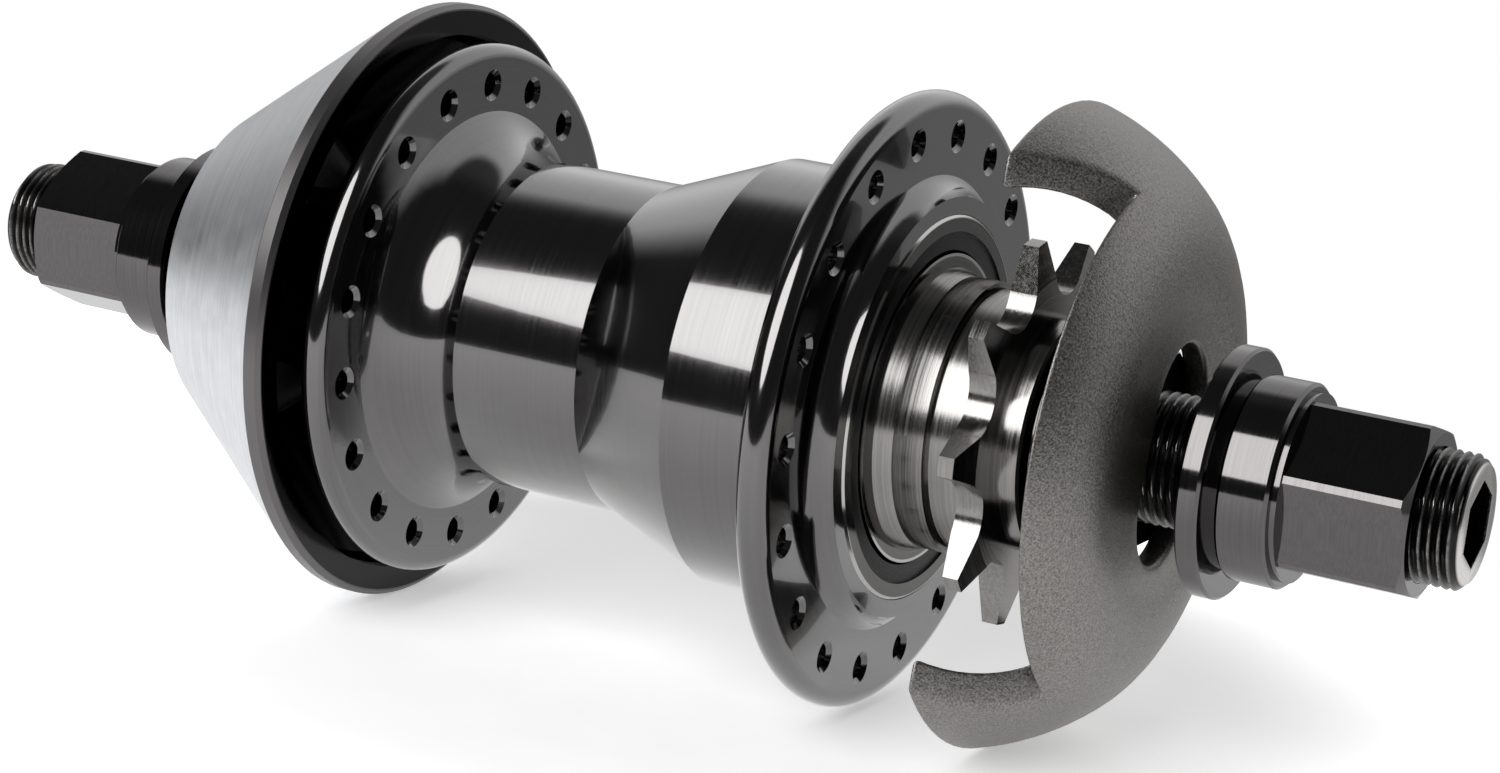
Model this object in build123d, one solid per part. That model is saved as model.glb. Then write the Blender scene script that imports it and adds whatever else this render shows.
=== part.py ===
from build123d import *
import os
from math import asin, atan2, cos, degrees, pi, radians, sin, sqrt, tan

os.makedirs("parts", exist_ok=True)

# Driving dimensions, in millimetres and degrees
# The hub's axis is X with the sprocket at +X, the origin is the middle of the axle, and +Z is up
# as the hub lies on a table. Angles about X are counted from +Y towards +Z.

# Clearances
running_gap = 0.05
open_gap = 0.4
end_gap = 0.3

# Axle
axle_length = 180.0
axle_thread_r = 7.0
axle_end_chamfer = 0.9
journal_r = 7.5
shoulder_r = 9.0
socket_across_flats = 8.0
socket_depth = 12.0
socket_corner_relief = 0.15

# Axle nuts and washers
nut_across_flats = 17.0
nut_hex_length = 13.0
nut_collar_r = 10.75
nut_collar_length = 5.4
nut_neck_r = 9.9
nut_neck_length = 0.9
nut_step_length = 0.7
nut_end_r = 8.4
nut_collar_chamfer = 0.35
nut_edge_bevel = 0.45
ds_nut_corner_angle = 44.8
nds_nut_corner_angle = 37.0
washer_r = 13.2
washer_thickness = 2.4
washer_edge = 0.3
washer_bore_gap = 0.2
dropout_gap = 5.35

# Shell: barrel, clutch chamber and flanges
ds_flange_face_x = 27.3
flange_face_distance = 58.2
barrel_r = 18.5
barrel_end_x = -3.4
barrel_bore_r = 14.8
chamber_r = 23.7
chamber_start_x = 9.9
chamber_bore_r = 20.4
chamber_bore_start_x = 8.3
trumpet_start_x = -18.7
trumpet_r = 23.0

ds_flange_r = 33.65
ds_flange_thickness = 3.7
ds_flange_rim_rounding = 1.7
ds_dish_r = 24.8
ds_dish_hollow_r = 3.2
ds_lip_r = 22.9
ds_lip_height = 2.5
nds_flange_r = 30.5
nds_flange_thickness = 3.2
nds_flange_rim_rounding = 1.4
nds_lip_r = 16.6
nds_lip_height = 2.2

# Spoke holes
spoke_holes_per_flange = 18
spoke_hole_r = 1.3
spoke_countersink_r = 1.8
ds_hole_circle_r = 29.0
nds_hole_circle_r = 26.0
ds_hole_angle = 1.0

# Cartridge bearings: bore radius, outer radius, width and number of balls
shell_bearing_ds = dict(bore_r=15.0, outer_r=21.0, width=7.0, balls=20)
shell_bearing_nds = dict(bore_r=journal_r, outer_r=14.0, width=7.0, balls=10)
driver_bearing = dict(bore_r=journal_r, outer_r=10.5, width=4.0, balls=18)
ball_share = 0.25
bearing_chamfer = 0.3
seal_recess = 0.3
seal_thickness = 0.6
ds_bearing_stand_out = 0.2
nds_bearing_inset = 0.4
bearing_shoulder_r = 12.4
bearing_shoulder_width = 2.0

# Driver with its sprocket teeth
tooth_count = 9
chain_pitch = 12.7
chain_roller_r = 3.95
tooth_tip_r = 20.95
tooth_seat_half_angle = 52.0
tooth_angle = 22.3
tooth_base_thickness = 3.0
tooth_tip_thickness = 1.7
tooth_taper_start_r = 16.5
tooth_base_x = 39.7
driver_collar_r = 15.4
driver_band_r = 14.75
driver_collar_x = 32.4
driver_groove_x = 35.8
driver_groove_width = 0.5
driver_groove_depth = 0.6
driver_root_r = 14.1
driver_boss_r = 12.7
driver_boss_length = 3.0
driver_boss_edge = 0.3
driver_bore_r = 9.0
spigot_r = 13.0
spigot_end_x = 3.3

# Clutch
clutch_ring_length = 10.5
clutch_ring_small_r = 15.6
clutch_cone_half_angle = 14.0
clutch_travel = 2.4
clutch_engaged_gap = 0.08
clutch_skirt_r = 14.2
clutch_skirt_length = 11.6
clip_width = 2.4
clip_r = 11.0
clip_opening_angle = 50.0
clip_ear_width = 3.0

# Sprocket-side guard
ds_guard_face_x = 57.5
ds_guard_thickness = 2.8
ds_guard_face_r = 15.5
ds_guard_shoulder_r = 28.8
ds_guard_shoulder_drop = 4.7
ds_guard_wing_r = 34.8
ds_guard_wing_drop = 15.6
ds_guard_wing_half_width = 21.6
ds_guard_root_half_width = 12.0
ds_guard_tip_rounding = 1.8
ds_guard_root_rounding = 1.0
ds_guard_shoulder_bow = 1.9
ds_guard_skirt_bow = 0.7
ds_guard_side_step = 4.0
ds_guard_slot_width = 14.3
ds_guard_slot_length = 23.5
ds_guard_turn = -9.0
ds_guard_lift = 0.45

# Cone guard on the far side
nds_guard_end_x = -57.7
nds_guard_end_r = 18.2
nds_guard_end_chamfer = 0.8
nds_guard_rim_x = -35.0
nds_guard_rim_r = 34.3
nds_guard_rim_width = 1.9
nds_guard_rim_chamfer = 0.5
nds_guard_rim_wall = 3.4
nds_guard_mouth_depth = 1.2
nds_guard_ledge_depth = 2.4
nds_guard_ledge_step = 0.8
nds_guard_wall = 2.6
nds_guard_boss_r = 12.0
nds_guard_boss_height = 4.0
nds_guard_floor = 3.6

# Cones and locknuts
nds_cone_length = 10.5
nds_cone_r = 10.6
nds_cone_nose_r = 8.9
nds_cone_nose_length = 3.0
nds_cone_flats = 17.0
locknut_across_flats = 19.0
ds_cone_r = 12.0
ds_cone_flats = 20.0
ds_cone_round_length = 3.0
spacer_wall = 0.8

# Places that follow from the sizes above
bore_clearance_r = axle_thread_r + running_gap
nds_flange_face_x = ds_flange_face_x - flange_face_distance
ds_lip_x = ds_flange_face_x + ds_lip_height
ds_bearing_x = ds_lip_x + ds_bearing_stand_out - shell_bearing_ds["width"]
nds_lip_x = nds_flange_face_x - nds_lip_height
nds_bearing_x = nds_lip_x + nds_bearing_inset
nds_shoulder_x = nds_bearing_x + shell_bearing_nds["width"]
ds_guard_back_x = ds_guard_face_x - ds_guard_thickness
tooth_end_x = tooth_base_x + tooth_base_thickness
driver_end_x = tooth_end_x + driver_boss_length
driver_out_bearing_x = driver_end_x - driver_bearing["width"] - end_gap
nds_guard_boss_x = nds_guard_end_x - nds_guard_boss_height
nds_guard_back_x = nds_guard_end_x + nds_guard_floor
nds_washer_x = nds_guard_boss_x - washer_thickness
nut_length = nut_neck_length + nut_collar_length + nut_step_length + nut_hex_length
nut_corner_r = nut_across_flats / 2 / cos(radians(30))
ds_washer_x = ds_guard_face_x + dropout_gap
pitch_r = chain_pitch / 2 / sin(pi / tooth_count)


def turned(*corners):
    """Revolve an outline of (x, radius) corners about X; a third number chamfers that corner."""
    outline = make_face(Polyline([corner[:2] for corner in corners], close=True))
    for x, radius, edge_break in [corner for corner in corners if len(corner) == 3]:
        point = outline.vertices().sort_by_distance((x, radius, 0))[0]
        outline = chamfer(point, edge_break)
    return revolve(outline, axis=Axis.X)


def tube(start_x, end_x, outer_r, inner_r):
    """Plain ring along X."""
    return turned((start_x, inner_r), (start_x, outer_r), (end_x, outer_r), (end_x, inner_r))


def rod(start_x, end_x, radius):
    """Plain cylinder along X."""
    return turned((start_x, 0), (start_x, radius), (end_x, radius), (end_x, 0))


def hexagon_bar(start_x, end_x, across_flats, corner_angle=0.0):
    """Six-sided bar along X with a corner at the given angle from +Y towards +Z."""
    outline = RegularPolygon(across_flats / 2, 6, major_radius=False)
    first_corner = outline.vertices().sort_by(Axis.X)[-1]
    offset = degrees(atan2(first_corner.Y, first_corner.X))
    bar = extrude(Plane.YZ * Rot(Z=corner_angle - offset) * outline, end_x - start_x)
    return Pos(X=start_x) * bar


def around(count, start_angle, piece):
    """Copies of a piece spaced evenly about X."""
    return [Rot(X=start_angle + 360.0 * k / count) * piece for k in range(count)]


def on_circle(radius):
    """Place on the +Y side of the axis, from which the angles are counted."""
    return Pos(Y=radius)


# Axle
def make_axle():
    half = axle_length / 2
    body = turned(
        (-half, 0),
        (-half, axle_thread_r - axle_end_chamfer),
        (-half + axle_end_chamfer, axle_thread_r),
        (nds_bearing_x, axle_thread_r),
        (nds_bearing_x, journal_r),
        (nds_shoulder_x, journal_r),
        (nds_shoulder_x, shoulder_r),
        (spigot_end_x, shoulder_r),
        (spigot_end_x, journal_r),
        (driver_out_bearing_x + driver_bearing["width"], journal_r),
        (driver_out_bearing_x + driver_bearing["width"], axle_thread_r),
        (half - axle_end_chamfer, axle_thread_r),
        (half, axle_thread_r - axle_end_chamfer),
        (half, 0),
    )
    socket = hexagon_bar(half - socket_depth, half, socket_across_flats)
    socket += rod(half - socket_depth, half, socket_across_flats / 2 + socket_corner_relief)
    return body - socket


# Axle nuts: hexagon, round collar with a thin neck on each side, threaded bore
def make_nut(seat_x, direction, corner_angle):
    neck_x = seat_x + direction * nut_neck_length
    collar_x = neck_x + direction * nut_collar_length
    hex_x = collar_x + direction * nut_step_length
    end_x = seat_x + direction * nut_length
    chamfer_run = (nut_corner_r - nut_end_r) * tan(radians(30))
    hexagon = hexagon_bar(min(hex_x, end_x), max(hex_x, end_x), nut_across_flats, corner_angle)
    long_edges = hexagon.edges().filter_by(Axis.X)
    hexagon = chamfer(long_edges, nut_edge_bevel)
    hexagon &= turned(
        (hex_x, 0),
        (hex_x, nut_neck_r),
        (end_x - direction * chamfer_run, nut_neck_r),
        (end_x, nut_end_r),
        (end_x, 0),
    )
    round_part = turned(
        (seat_x, bore_clearance_r),
        (seat_x, nut_neck_r),
        (neck_x, nut_neck_r),
        (neck_x, nut_collar_r, nut_collar_chamfer),
        (collar_x, nut_collar_r, nut_collar_chamfer),
        (collar_x, nut_neck_r),
        (hex_x, nut_neck_r),
        (hex_x, bore_clearance_r),
    )
    bore = rod(min(hex_x, end_x), max(hex_x, end_x), bore_clearance_r)
    return round_part + (hexagon - bore)


def make_washer(start_x):
    end_x = start_x + washer_thickness
    return turned(
        (start_x, axle_thread_r + washer_bore_gap),
        (start_x, washer_r, washer_edge),
        (end_x, washer_r, washer_edge),
        (end_x, axle_thread_r + washer_bore_gap),
    )


# Shell: one turned body with both flanges, the barrel and the clutch chamber
def spoke_holes(circle_r, start_angle, low_x, high_x):
    depth = spoke_countersink_r - spoke_hole_r
    cutter = turned(
        (low_x - 1, 0),
        (low_x - 1, spoke_countersink_r + 1),
        (low_x + depth, spoke_hole_r),
        (high_x - depth, spoke_hole_r),
        (high_x + 1, spoke_countersink_r + 1),
        (high_x + 1, 0),
    )
    return around(spoke_holes_per_flange, start_angle, on_circle(circle_r) * cutter)


def make_shell():
    ds_inner_x = ds_flange_face_x - ds_flange_thickness
    nds_inner_x = nds_flange_face_x + nds_flange_thickness
    trumpet_length = trumpet_start_x - nds_inner_x
    trumpet_bend = (nds_inner_x + 0.22 * trumpet_length, barrel_r + 0.42 * (trumpet_r - barrel_r))
    ds_rim = ds_flange_rim_rounding
    nds_rim = nds_flange_rim_rounding
    outline = [
        Line((nds_lip_x, shell_bearing_nds["outer_r"]), (nds_lip_x, nds_lip_r)),
        Line((nds_lip_x, nds_lip_r), (nds_flange_face_x, nds_lip_r)),
        Line((nds_flange_face_x, nds_lip_r), (nds_flange_face_x, nds_flange_r - nds_rim)),
        ThreePointArc(
            (nds_flange_face_x, nds_flange_r - nds_rim),
            ((nds_flange_face_x + nds_inner_x) / 2, nds_flange_r),
            (nds_inner_x, nds_flange_r - nds_rim),
        ),
        Line((nds_inner_x, nds_flange_r - nds_rim), (nds_inner_x, trumpet_r)),
        ThreePointArc((nds_inner_x, trumpet_r), trumpet_bend, (trumpet_start_x, barrel_r)),
        Line((trumpet_start_x, barrel_r), (barrel_end_x, barrel_r)),
        Line((barrel_end_x, barrel_r), (chamber_start_x, chamber_r)),
        Line((chamber_start_x, chamber_r), (ds_inner_x, chamber_r)),
        Line((ds_inner_x, chamber_r), (ds_inner_x, ds_flange_r - ds_rim)),
        ThreePointArc(
            (ds_inner_x, ds_flange_r - ds_rim),
            ((ds_inner_x + ds_flange_face_x) / 2, ds_flange_r),
            (ds_flange_face_x, ds_flange_r - ds_rim),
        ),
        Line((ds_flange_face_x, ds_flange_r - ds_rim), (ds_flange_face_x, ds_dish_r)),
        RadiusArc((ds_flange_face_x, ds_dish_r), (ds_lip_x, ds_lip_r), -ds_dish_hollow_r),
        Line((ds_lip_x, ds_lip_r), (ds_lip_x, shell_bearing_ds["outer_r"])),
        Line((ds_lip_x, shell_bearing_ds["outer_r"]), (ds_bearing_x, shell_bearing_ds["outer_r"])),
        Line((ds_bearing_x, shell_bearing_ds["outer_r"]), (ds_bearing_x, chamber_bore_r)),
        Line((ds_bearing_x, chamber_bore_r), (chamber_bore_start_x, chamber_bore_r)),
        Line((chamber_bore_start_x, chamber_bore_r), (chamber_bore_start_x, barrel_bore_r)),
        Line(
            (chamber_bore_start_x, barrel_bore_r),
            (nds_shoulder_x + bearing_shoulder_width, barrel_bore_r),
        ),
        Line(
            (nds_shoulder_x + bearing_shoulder_width, barrel_bore_r),
            (nds_shoulder_x + bearing_shoulder_width, bearing_shoulder_r),
        ),
        Line(
            (nds_shoulder_x + bearing_shoulder_width, bearing_shoulder_r),
            (nds_shoulder_x, bearing_shoulder_r),
        ),
        Line((nds_shoulder_x, bearing_shoulder_r), (nds_shoulder_x, shell_bearing_nds["outer_r"])),
        Line(
            (nds_shoulder_x, shell_bearing_nds["outer_r"]),
            (nds_lip_x, shell_bearing_nds["outer_r"]),
        ),
    ]
    shell = revolve(make_face(outline), axis=Axis.X)
    half_step = 180.0 / spoke_holes_per_flange
    shell -= spoke_holes(ds_hole_circle_r, ds_hole_angle, ds_inner_x, ds_flange_face_x)
    shell -= spoke_holes(
        nds_hole_circle_r, ds_hole_angle - half_step, nds_flange_face_x, nds_inner_x
    )
    return shell


# Cartridge bearing: two grooved races, balls in a cage, and a seal on each side
def bearing_race(start_x, end_x, wall_r, land_r, track_r, half_track, edge_break):
    """Race with its track on the land side; the other side is the wall that it is fitted by."""
    middle_x = (start_x + end_x) / 2
    return turned(
        (start_x, land_r),
        (start_x, wall_r, edge_break),
        (end_x, wall_r, edge_break),
        (end_x, land_r),
        (middle_x + half_track, land_r),
        (middle_x + half_track / 2, track_r),
        (middle_x - half_track / 2, track_r),
        (middle_x - half_track, land_r),
    )


def bearing_ball(radius):
    """Ball drawn with flat faces, so that the many hidden balls stay light."""
    rings = [
        Pos(Z=radius * sin(radians(angle))) * RegularPolygon(radius * cos(radians(angle)), 8)
        for angle in (-67.5, -22.5, 22.5, 67.5)
    ]
    return Rot(X=90) * loft(rings, ruled=True)


def make_bearing(start_x, bore_r, outer_r, width, balls):
    pitch = (bore_r + outer_r) / 2
    ball_r = ball_share * sqrt((outer_r - bore_r) * width)
    end_x = start_x + width
    middle_x = (start_x + end_x) / 2
    land = 0.72 * ball_r
    inner_land_r = pitch - land
    outer_land_r = pitch + land
    track = ball_r + running_gap
    half_track = sqrt(ball_r * ball_r - land * land)
    ball = Pos(middle_x, pitch, 0) * bearing_ball(ball_r)
    rib = 0.35 * land
    cage_end = end_x - seal_recess - seal_thickness - 2 * running_gap
    cage = tube(middle_x - 0.2 * ball_r, cage_end, pitch + rib, pitch - rib)
    pocket_outline = RegularPolygon(ball_r * cos(radians(22.5)) + 1.5 * running_gap, 8)
    pocket = Pos(middle_x, pitch, 0) * Rot(X=90) * extrude(pocket_outline, 2 * rib, both=True)
    seal_inner_r = inner_land_r + end_gap
    seal_start = start_x + seal_recess
    seal_end = end_x - seal_recess
    near_seal = tube(seal_start, seal_start + seal_thickness, outer_land_r, seal_inner_r)
    far_seal = tube(seal_end - seal_thickness, seal_end, outer_land_r, seal_inner_r)
    return dict(
        outer_race=bearing_race(
            start_x, end_x, outer_r, outer_land_r, pitch + track, half_track, bearing_chamfer
        ),
        inner_race=bearing_race(
            start_x, end_x, bore_r, inner_land_r, pitch - track, half_track, bearing_chamfer
        ),
        balls=Compound(children=around(balls, 0, ball)),
        cage=cage - around(balls, 0, pocket),
        seals=Compound(children=[near_seal, far_seal]),
    )


# Driver: hollow one-piece sprocket body
def tooth_gap():
    """Space between two teeth, in the YZ plane, opening outwards from a roller seat on +Y."""
    seat = radians(tooth_seat_half_angle)
    side_y = pitch_r - chain_roller_r * cos(seat)
    side_z = chain_roller_r * sin(seat)
    run = (tooth_tip_r + 1 - side_y) / sin(seat)
    far_y = side_y + run * sin(seat)
    far_z = side_z + run * cos(seat)
    outline = make_face(
        [
            ThreePointArc((side_y, -side_z), (pitch_r - chain_roller_r, 0), (side_y, side_z)),
            Line((side_y, side_z), (far_y, far_z)),
            Line((far_y, far_z), (far_y, -far_z)),
            Line((far_y, -far_z), (side_y, -side_z)),
        ]
    )
    gap = extrude(Plane.YZ * outline, tooth_base_thickness + 2)
    return Pos(X=tooth_base_x - 1) * gap


def make_sprocket():
    taper = (tooth_base_thickness - tooth_tip_thickness) / 2
    disc = turned(
        (tooth_base_x, driver_bore_r + 2),
        (tooth_base_x, tooth_taper_start_r),
        (tooth_base_x + taper, tooth_tip_r),
        (tooth_end_x - taper, tooth_tip_r),
        (tooth_end_x, tooth_taper_start_r),
        (tooth_end_x, driver_bore_r + 2),
    )
    return disc - around(tooth_count, tooth_angle + 180.0 / tooth_count, tooth_gap())


def make_driver():
    seat_r = driver_bearing["outer_r"]
    journal_start_x = ds_bearing_x
    journal_end_x = ds_bearing_x + shell_bearing_ds["width"]
    groove_end_x = driver_groove_x + driver_groove_width
    body = turned(
        (spigot_end_x, seat_r),
        (spigot_end_x, spigot_r - 0.5),
        (spigot_end_x + 0.5, spigot_r),
        (journal_start_x - 1.0, spigot_r),
        (journal_start_x - 1.0, driver_collar_r),
        (journal_start_x, driver_collar_r),
        (journal_start_x, shell_bearing_ds["bore_r"]),
        (journal_end_x, shell_bearing_ds["bore_r"]),
        (journal_end_x, driver_collar_r),
        (journal_end_x + 0.5, driver_collar_r),
        (driver_collar_x, driver_band_r),
        (driver_groove_x, driver_band_r),
        (driver_groove_x, driver_root_r - driver_groove_depth),
        (groove_end_x, driver_root_r - driver_groove_depth),
        (groove_end_x, driver_root_r),
        (tooth_end_x, driver_root_r),
        (tooth_end_x, driver_boss_r),
        (driver_end_x, driver_boss_r, driver_boss_edge),
        (driver_end_x, seat_r),
        (driver_out_bearing_x, seat_r),
        (driver_out_bearing_x, driver_bore_r),
        (spigot_end_x + driver_bearing["width"], driver_bore_r),
        (spigot_end_x + driver_bearing["width"], seat_r),
    )
    return body + make_sprocket()


# Clutch: steel cone ring in the shell, sliding cone on the driver's spigot, drag clip on the axle
def cone_radius(distance):
    """Radius of the ring's cone at a distance from its small end."""
    return clutch_ring_small_r + distance * tan(radians(clutch_cone_half_angle))


def make_clutch_ring():
    end_x = chamber_bore_start_x + clutch_ring_length
    return turned(
        (chamber_bore_start_x, cone_radius(0)),
        (chamber_bore_start_x, chamber_bore_r),
        (end_x, chamber_bore_r),
        (end_x, cone_radius(clutch_ring_length)),
    )


def make_clutch_cone():
    inset = clutch_engaged_gap / cos(radians(clutch_cone_half_angle))
    start_x = chamber_bore_start_x + 1.0 + clutch_travel
    end_x = chamber_bore_start_x + clutch_ring_length + clutch_travel
    skirt_x = start_x - clutch_skirt_length
    body = turned(
        (skirt_x, spigot_r + running_gap),
        (skirt_x, clutch_skirt_r),
        (start_x, clutch_skirt_r),
        (start_x, cone_radius(1.0) - inset),
        (end_x, cone_radius(clutch_ring_length) - inset),
        (end_x, spigot_r + running_gap),
    )
    ear_slot = Pos(skirt_x, 0, 0) * Box(
        2 * clip_width, 2 * clutch_skirt_r + 2, clip_ear_width, align=Align.CENTER
    )
    return body - ear_slot


def make_drag_clip():
    start_x = chamber_bore_start_x + 1.0 + clutch_travel - clutch_skirt_length
    end_x = start_x + clip_width
    ring = tube(start_x, end_x, clip_r, shoulder_r + running_gap)
    opening = radians(clip_opening_angle / 2)
    reach = 2 * clip_r
    wedge = make_face(
        Polyline((0, 0), (reach, reach * tan(opening)), (reach, -reach * tan(opening)), close=True)
    )
    ring -= Pos(X=start_x) * Rot(X=90) * extrude(Plane.YZ * wedge, clip_width)
    ear_length = clutch_skirt_r - clip_r + 1.0
    ear = Box(clip_width, ear_length, clip_ear_width - 2 * running_gap)
    ear_y = clutch_skirt_r - ear_length / 2
    middle_x = (start_x + end_x) / 2
    return ring + Pos(middle_x, ear_y, 0) * ear + Pos(middle_x, -ear_y, 0) * ear


# Sprocket-side guard: cast dome with a slot for the axle and two wings over the sprocket
def bulge(start, end, height):
    """Arc between two points whose middle stands out by a height on the left of the way."""
    run = Vector(end[0] - start[0], end[1] - start[1])
    middle = ((start[0] + end[0]) / 2, (start[1] + end[1]) / 2)
    side = Vector(-run.Y, run.X).normalized() * height
    return ThreePointArc(start, (middle[0] + side.X, middle[1] + side.Y), end)


def dome_section():
    """Half section of the dome: a flat round the slot, a bowed shoulder and a straighter skirt."""
    wall = ds_guard_thickness
    face = (ds_guard_face_x, ds_guard_face_r)
    shoulder = (ds_guard_face_x - ds_guard_shoulder_drop, ds_guard_shoulder_r)
    rim = (ds_guard_face_x - ds_guard_wing_drop, ds_guard_wing_r)
    back_face = (face[0] - wall, face[1] - 0.25 * wall)
    back_shoulder = (shoulder[0] - 0.72 * wall, shoulder[1] - 0.72 * wall)
    back_rim = (rim[0], rim[1] - wall)
    return make_face(
        [
            Line((face[0], 0), face),
            bulge(face, shoulder, -ds_guard_shoulder_bow),
            bulge(shoulder, rim, -ds_guard_skirt_bow),
            Line(rim, back_rim),
            bulge(back_rim, back_shoulder, 0.85 * ds_guard_skirt_bow),
            bulge(back_shoulder, back_face, 0.8 * ds_guard_shoulder_bow),
            Line(back_face, (back_face[0], 0)),
            Line((back_face[0], 0), (face[0], 0)),
        ]
    )


def radial_edges(solid, x):
    """Straight edges of a solid that lie in the plane at x."""
    straight = solid.edges().filter_by(GeomType.LINE)
    return [edge for edge in straight if all(abs(end.X - x) < 0.01 for end in edge.vertices())]


def make_ds_guard():
    dome = revolve(dome_section(), axis=Axis.X)
    reach = 2 * ds_guard_wing_r
    root_x = ds_guard_face_x - ds_guard_shoulder_drop
    tip_x = ds_guard_face_x - ds_guard_wing_drop
    side = make_face(
        Polyline(
            (root_x, ds_guard_root_half_width),
            (tip_x, ds_guard_wing_half_width),
            (tip_x - 1, ds_guard_wing_half_width),
            (tip_x - 1, reach),
            (root_x, reach),
            close=True,
        )
    )
    side_cut = extrude(side, reach, both=True)
    kept_r = ds_guard_shoulder_r - ds_guard_thickness - ds_guard_side_step
    side_cut -= rod(tip_x - 1, root_x, kept_r)
    dome -= side_cut
    dome -= Rot(X=180) * side_cut
    dome = fillet(radial_edges(dome, tip_x), ds_guard_tip_rounding)
    dome = fillet(radial_edges(dome, root_x), ds_guard_root_rounding)
    slot_outline = Rot(Z=90) * SlotOverall(ds_guard_slot_length, ds_guard_slot_width)
    slot = extrude(Plane.YZ * slot_outline, 3 * ds_guard_thickness)
    dome -= Pos(X=ds_guard_face_x - 2 * ds_guard_thickness) * slot
    return Rot(X=ds_guard_turn) * Pos(Z=ds_guard_lift) * dome


# Cone guard on the far side: hollow cone with a rolled rim and a boss that meets the washer
def make_nds_guard():
    rim_end_x = nds_guard_rim_x + nds_guard_rim_width
    slope = (nds_guard_rim_r - nds_guard_end_r) / (nds_guard_rim_x - nds_guard_end_x)
    ledge_x = rim_end_x - nds_guard_mouth_depth
    hollow_x = ledge_x - nds_guard_ledge_depth
    wall_r = nds_guard_wall * sqrt(1 + slope * slope)
    hollow_r = nds_guard_end_r + slope * (hollow_x - nds_guard_end_x) - wall_r
    floor_r = nds_guard_end_r + slope * (nds_guard_back_x - nds_guard_end_x) - wall_r
    return turned(
        (nds_guard_boss_x, bore_clearance_r),
        (nds_guard_boss_x, nds_guard_boss_r, 0.5),
        (nds_guard_end_x, nds_guard_boss_r),
        (nds_guard_end_x, nds_guard_end_r, nds_guard_end_chamfer),
        (nds_guard_rim_x, nds_guard_rim_r),
        (rim_end_x - nds_guard_rim_chamfer, nds_guard_rim_r),
        (rim_end_x, nds_guard_rim_r - nds_guard_rim_chamfer),
        (rim_end_x, nds_guard_rim_r - nds_guard_rim_wall),
        (ledge_x, nds_guard_rim_r - nds_guard_rim_wall),
        (ledge_x, hollow_r + nds_guard_ledge_step),
        (hollow_x, hollow_r),
        (nds_guard_back_x, floor_r),
        (nds_guard_back_x, bore_clearance_r),
    )


# Cones and locknuts that hold the bearings on the axle
def make_nds_cone():
    end_x = nds_bearing_x
    start_x = end_x - nds_cone_length
    body = turned(
        (start_x, bore_clearance_r),
        (start_x, nds_cone_r, 0.4),
        (end_x - nds_cone_nose_length, nds_cone_r),
        (end_x - nds_cone_nose_length, nds_cone_nose_r),
        (end_x, nds_cone_nose_r),
        (end_x, bore_clearance_r),
    )
    return body & Pos((start_x + end_x) / 2, 0, 0) * Box(
        nds_cone_length + 1, 2 * nds_cone_r + 1, nds_cone_flats
    )


def make_nds_locknut():
    start_x = nds_guard_back_x
    end_x = nds_bearing_x - nds_cone_length
    body = hexagon_bar(start_x, end_x, locknut_across_flats)
    return body - rod(start_x, end_x, bore_clearance_r)


def make_bearing_spacer():
    start_x = spigot_end_x + driver_bearing["width"]
    return tube(start_x, driver_out_bearing_x, journal_r + running_gap + spacer_wall, journal_r + running_gap)


def make_ds_cone():
    start_x = driver_out_bearing_x + driver_bearing["width"]
    body_x = driver_end_x + open_gap
    body = turned(
        (start_x, bore_clearance_r),
        (start_x, shoulder_r - end_gap),
        (body_x, shoulder_r - end_gap),
        (body_x, ds_cone_r, 0.3),
        (ds_guard_back_x, ds_cone_r, 0.3),
        (ds_guard_back_x, bore_clearance_r),
    )
    flats_x = body_x + ds_cone_round_length
    flats_length = ds_guard_back_x - flats_x
    around_flats = Box(flats_length, 3 * ds_cone_r, 3 * ds_cone_r)
    around_flats -= Box(flats_length, 3 * ds_cone_r, ds_cone_flats)
    return body - Pos(flats_x + flats_length / 2, 0, 0) * around_flats


def build():
    pieces = dict(
        axle=make_axle(),
        ds_axle_nut=make_nut(ds_washer_x + washer_thickness, 1, ds_nut_corner_angle),
        nds_axle_nut=make_nut(nds_washer_x, -1, nds_nut_corner_angle),
        ds_washer=make_washer(ds_washer_x),
        nds_washer=make_washer(nds_washer_x),
        hub_shell=make_shell(),
        driver=make_driver(),
        clutch_ring=make_clutch_ring(),
        clutch_cone=make_clutch_cone(),
        drag_clip=make_drag_clip(),
        ds_guard=make_ds_guard(),
        nds_guard=make_nds_guard(),
        nds_cone=make_nds_cone(),
        nds_locknut=make_nds_locknut(),
        ds_cone=make_ds_cone(),
        bearing_spacer=make_bearing_spacer(),
    )
    bearings = dict(
        nds_bearing=make_bearing(nds_bearing_x, **shell_bearing_nds),
        ds_bearing=make_bearing(ds_bearing_x, **shell_bearing_ds),
        driver_inner_bearing=make_bearing(spigot_end_x, **driver_bearing),
        driver_outer_bearing=make_bearing(driver_out_bearing_x, **driver_bearing),
    )
    for bearing, bearing_pieces in bearings.items():
        for piece, solid in bearing_pieces.items():
            pieces[bearing + "_" + piece] = solid
    return pieces


for node, solid in build().items():
    export_step(solid, "parts/" + node + ".step")
    box = solid.bounding_box()
    low_corner = (round(box.min.X, 2), round(box.min.Y, 2), round(box.min.Z, 2))
    high_corner = (round(box.max.X, 2), round(box.max.Y, 2), round(box.max.Z, 2))
    print(node, len(solid.solids()), "solids", round(solid.volume, 1), "mm3", low_corner, high_corner)
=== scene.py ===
# %% [markdown]
# # A bicycle rear hub, dressed for a product picture
# The hub was built as solids first, and that model is loaded here as a fixed frame. Most of its
# pieces are turned metal with an even finish, so their solids stay, and Blender gives them real
# surfaces. Two pieces are modelled again because a solid model leaves them plain: the axle with
# its screw thread and the blasted guard with its soft edges.

# %% Load the frame
from math import asin, atan2, cos, hypot, pi, radians, sin, sqrt

import bmesh
import bpy
from mathutils import Matrix, Vector


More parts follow.
